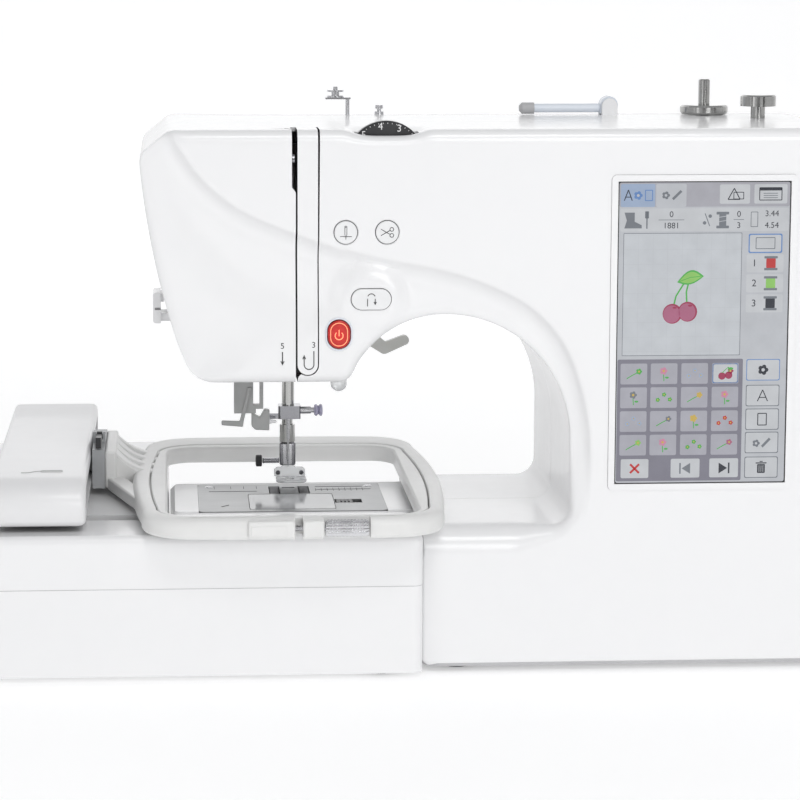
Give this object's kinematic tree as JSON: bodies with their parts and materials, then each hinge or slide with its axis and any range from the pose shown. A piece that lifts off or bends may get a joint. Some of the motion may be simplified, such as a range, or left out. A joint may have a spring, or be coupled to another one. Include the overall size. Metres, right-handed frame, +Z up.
{
  "type": "embroidery machine",
  "caption": "White sewing and embroidery machine with an arched throat, an upright touch display, a docked embroidery unit and a rectangular hoop on its moving carriage.",
  "frame": {"origin": "bottom centre of the bounding box, on the surface that the feet stand on", "axes": "+X to the operator's right, +Y away from the operator, +Z up"},
  "size_m": [0.555, 0.284, 0.2968],
  "materials": {
    "shell_white": "satin gloss",
    "unit_white": "satin gloss",
    "base_grey": "fine texture",
    "cast_metal": "as cast",
    "bronze": "sintered",
    "motor_metal": "satin",
    "belt_rubber": "matte",
    "board_green": "solder mask",
    "plate_steel": "brushed",
    "cover_clear": "smoked clear",
    "bezel_white": "gloss",
    "screen_glass": "lit touch display",
    "lens_clear": "frosted clear",
    "bright_chrome": "polished",
    "knurled_chrome": "knurled",
    "panel_grey": "fine texture",
    "feet_rubber": "matte",
    "screw_steel": "turned",
    "hook_steel": "dark turned",
    "foot_steel": "bright pressed steel",
    "bobbin_plastic": "clear",
    "black_screw": "black",
    "lever_grey": "satin",
    "threader_grey": "satin",
    "latch_black": "fine texture",
    "button_white": "satin",
    "button_red": "lit translucent red",
    "dial_dark": "satin",
    "pin_white": "translucent white",
    "pin_grey": "satin",
    "switch_black": "satin",
    "carriage_grey": "satin",
    "holder_grey": "satin",
    "hoop_grey": "satin"
  },
  "bodies": {
    "housing": {"front_cover": "shell_white", "rear_cover": "shell_white", "bottom_cover": "base_grey", "free_arm_cover": "shell_white", "thread_strip": "shell_white", "main_frame": "cast_metal", "shaft_bushes": "bronze", "main_motor": "motor_metal", "drive_belt": "belt_rubber", "control_board": "board_green", "needle_plate": "plate_steel", "bobbin_cover": "cover_clear", "display_bezel": "bezel_white", "touch_screen": "screen_glass", "lamp_lens": "lens_clear", "thread_cutter": "shell_white", "upper_thread_guide": "bright_chrome", "pretension_guide": "bright_chrome", "winder_stop": "bright_chrome", "inlet_panel": "panel_grey", "rubber_feet": "feet_rubber", "housing_screws": "screw_steel", "unit_upper_case": "unit_white", "unit_lower_case": "unit_white", "unit_guide_rod": "screw_steel", "unit_feet": "feet_rubber"},
    "main_drive": {"main_shaft": "screw_steel", "handwheel": "shell_white"},
    "motor_drive": {"motor_pulley": "motor_metal"},
    "hook": {"rotary_hook": "hook_steel"},
    "bobbin": {"bobbin": "bobbin_plastic"},
    "feed": {"feed_dogs": "hook_steel"},
    "take_up": {"take_up_lever": "bright_chrome"},
    "needle_bar": {"needle_bar": "bright_chrome", "needle_clamp": "bright_chrome", "needle": "screw_steel"},
    "needle_clamp_screw": {"needle_clamp_screw": "bright_chrome"},
    "presser_bar": {"presser_bar": "bright_chrome", "embroidery_foot": "foot_steel"},
    "foot_screw": {"foot_screw": "black_screw"},
    "presser_lever": {"presser_lever": "lever_grey"},
    "threader": {"needle_threader": "threader_grey"},
    "latch": {"bobbin_cover_latch": "latch_black"},
    "position_button": {"needle_position_button": "button_white"},
    "cutter_button": {"thread_cutter_button": "button_white"},
    "reverse_button": {"reverse_button": "button_white"},
    "start_button": {"start_stop_button": "button_red"},
    "tension_dial": {"tension_dial": "dial_dark"},
    "spool_pin": {"spool_pin": "pin_white"},
    "spool_cap": {"spool_cap": "pin_grey"},
    "winder_slide": {"winder_slide": "pin_grey"},
    "winder_spindle": {"winder_spindle": "bright_chrome"},
    "power_switch": {"power_switch": "switch_black"},
    "carriage": {"carriage_cover": "carriage_grey", "carriage_base": "base_grey"},
    "hoop": {"frame_holder": "holder_grey", "hoop_outer": "hoop_grey", "hoop_inner": "hoop_grey"},
    "holder_lever": {"holder_lever": "latch_black"},
    "hoop_screw": {"hoop_screw": "knurled_chrome"}
  },
  "joints": [
    {"name": "handwheel_turn", "type": "hinge", "parent": "housing", "child": "main_drive", "pos_m": [0, 0, 0.235], "axis": [1, 0, 0], "continuous": true},
    {"name": "motor_turn", "type": "hinge", "parent": "housing", "child": "motor_drive", "pos_m": [0, -0.004, 0.06], "axis": [1, 0, 0], "continuous": true},
    {"name": "hook_turn", "type": "hinge", "parent": "housing", "child": "hook", "pos_m": [-0.0527, -0.024, 0], "axis": [0, 0, 1], "continuous": true},
    {"name": "bobbin_turn", "type": "hinge", "parent": "hook", "child": "bobbin", "pos_m": [-0.0527, -0.024, 0], "axis": [0, 0, 1], "continuous": true},
    {"name": "feed_dog_rise", "type": "slide", "parent": "housing", "child": "feed", "axis": [0, 0, 1], "range_m": [0, 0.0008]},
    {"name": "take_up_swing", "type": "hinge", "parent": "housing", "child": "take_up", "pos_m": [-0.0541, -0.04, 0.232], "axis": [1, 0, 0], "range_deg": [0, 18]},
    {"name": "needle_bar_travel", "type": "slide", "parent": "housing", "child": "needle_bar", "axis": [0, 0, 1], "range_m": [-0.029, 0]},
    {"name": "needle_clamp_screw_turn", "type": "hinge", "parent": "needle_bar", "child": "needle_clamp_screw", "pos_m": [-0.045, -0.0005, 0.118], "axis": [1, 0, 0], "range_deg": [-360, 360]},
    {"name": "presser_lever_turn", "type": "hinge", "parent": "housing", "child": "presser_lever", "pos_m": [-0.028, 0.041, 0.168], "axis": [0, -1, 0], "range_deg": [-19.8, 22]},
    {"name": "presser_bar_travel", "type": "slide", "parent": "housing", "child": "presser_bar", "axis": [0, 0, 1], "range_m": [-0.0027, 0.003]},
    {"name": "foot_screw_turn", "type": "hinge", "parent": "presser_bar", "child": "foot_screw", "pos_m": [-0.062, 0.0082, 0.0885], "axis": [1, 0, 0], "range_deg": [-360, 360]},
    {"name": "threader_travel", "type": "slide", "parent": "housing", "child": "threader", "axis": [0, 0, 1], "range_m": [-0.012, 0]},
    {"name": "bobbin_latch_slide", "type": "slide", "parent": "housing", "child": "latch", "axis": [1, 0, 0], "range_m": [0, 0.003]},
    {"name": "needle_position_press", "type": "slide", "parent": "housing", "child": "position_button", "axis": [0, 1, 0], "range_m": [0, 0.0012], "stiffness_N_per_m": 300},
    {"name": "thread_cutter_press", "type": "slide", "parent": "housing", "child": "cutter_button", "axis": [0, 1, 0], "range_m": [0, 0.0012], "stiffness_N_per_m": 300},
    {"name": "reverse_press", "type": "slide", "parent": "housing", "child": "reverse_button", "axis": [0, 1, 0], "range_m": [0, 0.0012], "stiffness_N_per_m": 300},
    {"name": "start_stop_press", "type": "slide", "parent": "housing", "child": "start_button", "axis": [0, 1, 0], "range_m": [0, 0.0012], "stiffness_N_per_m": 300},
    {"name": "tension_dial_turn", "type": "hinge", "parent": "housing", "child": "tension_dial", "pos_m": [-0.0077, -0.095, 0.2618], "axis": [0, 1, 0], "range_deg": [-135, 135]},
    {"name": "spool_pin_raise", "type": "hinge", "parent": "housing", "child": "spool_pin", "pos_m": [0.1227, 0.0144, 0.2828], "axis": [0, 1, 0], "range_deg": [0, 90]},
    {"name": "spool_cap_pull", "type": "slide", "parent": "spool_pin", "child": "spool_cap", "axis": [-1, 0, 0], "range_m": [0, 0.012]},
    {"name": "winder_shift", "type": "slide", "parent": "housing", "child": "winder_slide", "axis": [1, 0, 0], "range_m": [0, 0.007]},
    {"name": "winder_turn", "type": "hinge", "parent": "winder_slide", "child": "winder_spindle", "pos_m": [0.1745, 0.01, 0.28], "axis": [0, 0, 1], "continuous": true},
    {"name": "power_switch_rock", "type": "hinge", "parent": "housing", "child": "power_switch", "pos_m": [0.246, -0.009, 0.077], "axis": [0, 1, 0], "range_deg": [-7, 7]},
    {"name": "carriage_travel_x", "type": "slide", "parent": "housing", "child": "carriage", "axis": [1, 0, 0], "range_m": [-0.04, 0.046]},
    {"name": "hoop_travel_y", "type": "slide", "parent": "carriage", "child": "hoop", "axis": [0, 1, 0], "range_m": [-0.032, 0.07]},
    {"name": "holder_lever_lift", "type": "hinge", "parent": "hoop", "child": "holder_lever", "pos_m": [-0.1553, 0.008, 0.103], "axis": [1, 0, 0], "range_deg": [-55, 0]},
    {"name": "hoop_screw_turn", "type": "hinge", "parent": "hoop", "child": "hoop_screw", "pos_m": [-0.03, -0.1376, 0.083], "axis": [1, 0, 0], "range_deg": [-360, 360]}
  ],
  "couplings": [
    {"joint": "motor_turn", "follows": "handwheel_turn", "ratio": 1.875},
    {"joint": "hook_turn", "follows": "handwheel_turn", "ratio": 2}
  ]
}
